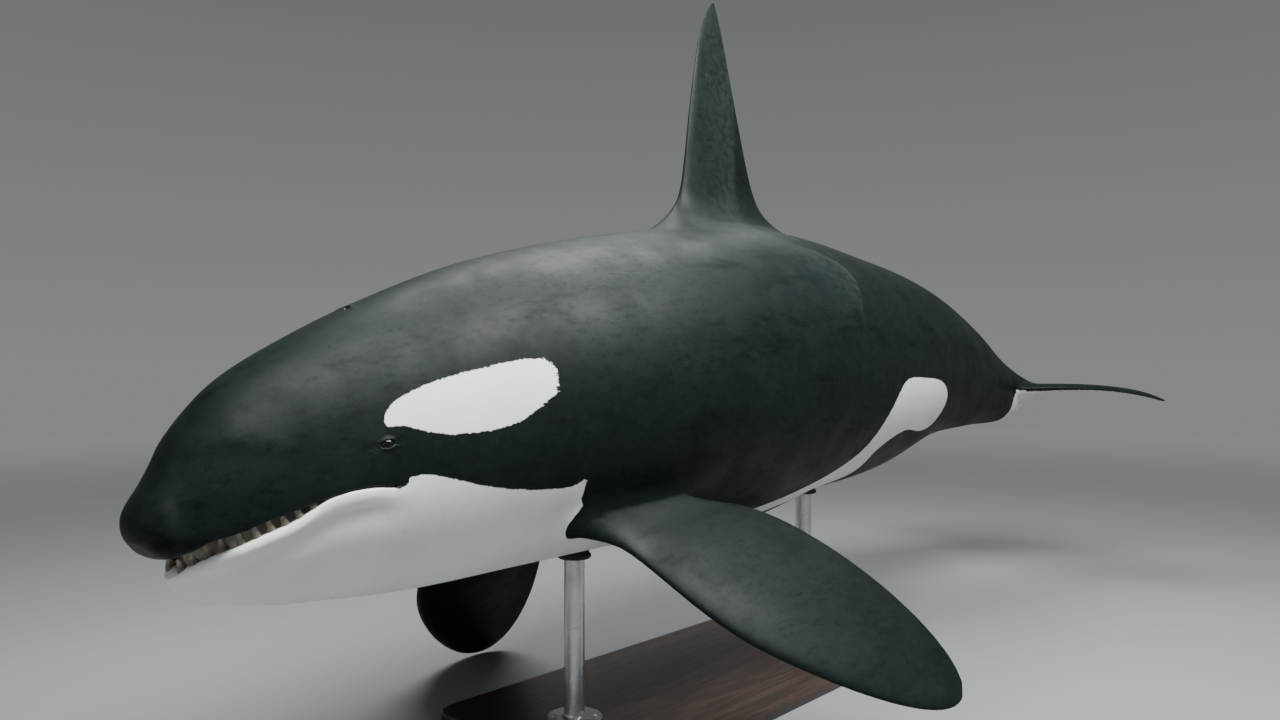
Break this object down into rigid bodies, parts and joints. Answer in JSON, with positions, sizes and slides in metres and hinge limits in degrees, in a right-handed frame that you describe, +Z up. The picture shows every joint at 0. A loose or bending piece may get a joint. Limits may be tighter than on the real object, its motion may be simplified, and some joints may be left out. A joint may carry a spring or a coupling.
{
  "type": "orca on a display stand",
  "caption": "Life-size adult male orca swimming with its jaws a little apart, held level on a flat base by short rods.",
  "frame": {"origin": "middle of the underside of the stand's base, on the floor", "axes": "the whale heads along -X, its left side is towards -Y, +Z is up"},
  "size_m": [7.2369, 2.8099, 3.5998],
  "materials": {
    "black_skin": "smooth, wet sheen, fine scratches",
    "white_skin": "smooth, wet sheen",
    "mouth": "wet, soft",
    "eye": "clear, wet gloss",
    "stand_plate": "dark stained timber under satin lacquer",
    "stand_steel": "brushed along the rod"
  },
  "bodies": {
    "root": {"head": "black_skin", "lower_jaw": "white_skin", "tongue": "mouth", "eye_left": "eye", "eye_right": "eye", "thorax": "black_skin", "torso": "black_skin", "loin": "black_skin", "tail_stock": "black_skin", "dorsal_fin": "black_skin", "flipper_left": "black_skin", "flipper_right": "black_skin", "fluke_left": "black_skin", "fluke_right": "black_skin", "stand_base": "stand_plate", "stand_rod_front": "stand_steel", "stand_rod_rear": "stand_steel"}
  },
  "joints": []
}
